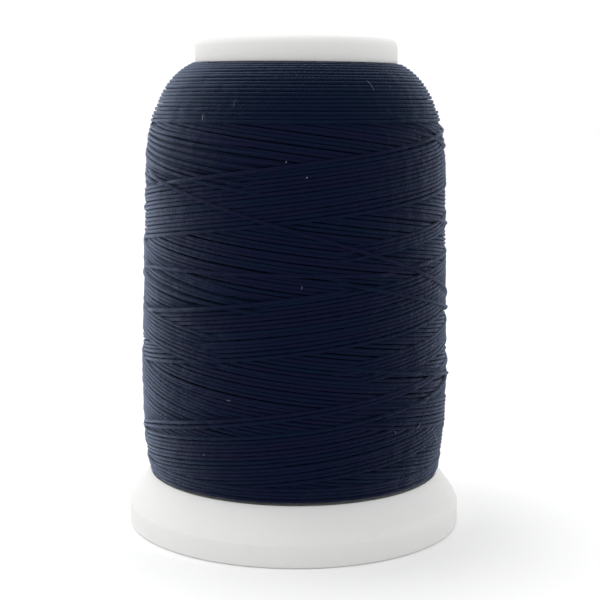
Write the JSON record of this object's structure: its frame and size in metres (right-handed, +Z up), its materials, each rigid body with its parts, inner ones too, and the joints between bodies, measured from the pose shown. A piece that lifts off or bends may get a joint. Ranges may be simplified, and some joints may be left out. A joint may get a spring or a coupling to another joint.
{
  "type": "spool of thread",
  "caption": "Upright snap spool of dark navy sewing thread: white plastic barrel with a capped top, and a wide conical foot that lifts apart to lock the thread end.",
  "frame": {"origin": "centre of the foot's underside, on the surface that the spool stands on", "axes": "+Z up along the spool's axis, from the foot to the top cap; X and Y are free, as the spool is round"},
  "size_m": [0.05, 0.05, 0.072],
  "materials": {
    "white_plastic": "white moulded plastic, satin, slightly translucent",
    "barrel_plastic": "natural white moulded plastic, satin",
    "navy_thread": "thick plied thread, dark navy, soft sheen, cross-wound",
    "label_paper": "blank uncoated paper label"
  },
  "bodies": {
    "foot": {"snap_base": "white_plastic"},
    "spool": {"barrel": "barrel_plastic", "thread_winding": "navy_thread", "top_cap": "white_plastic", "base_plug": "barrel_plastic", "spindle_sleeve": "barrel_plastic", "top_label": "label_paper", "base_label": "label_paper"}
  },
  "joints": [
    {"name": "thread_lock", "type": "slide", "parent": "foot", "child": "spool", "axis": [0, 0, 1], "range_m": [0, 0.0018]}
  ]
}
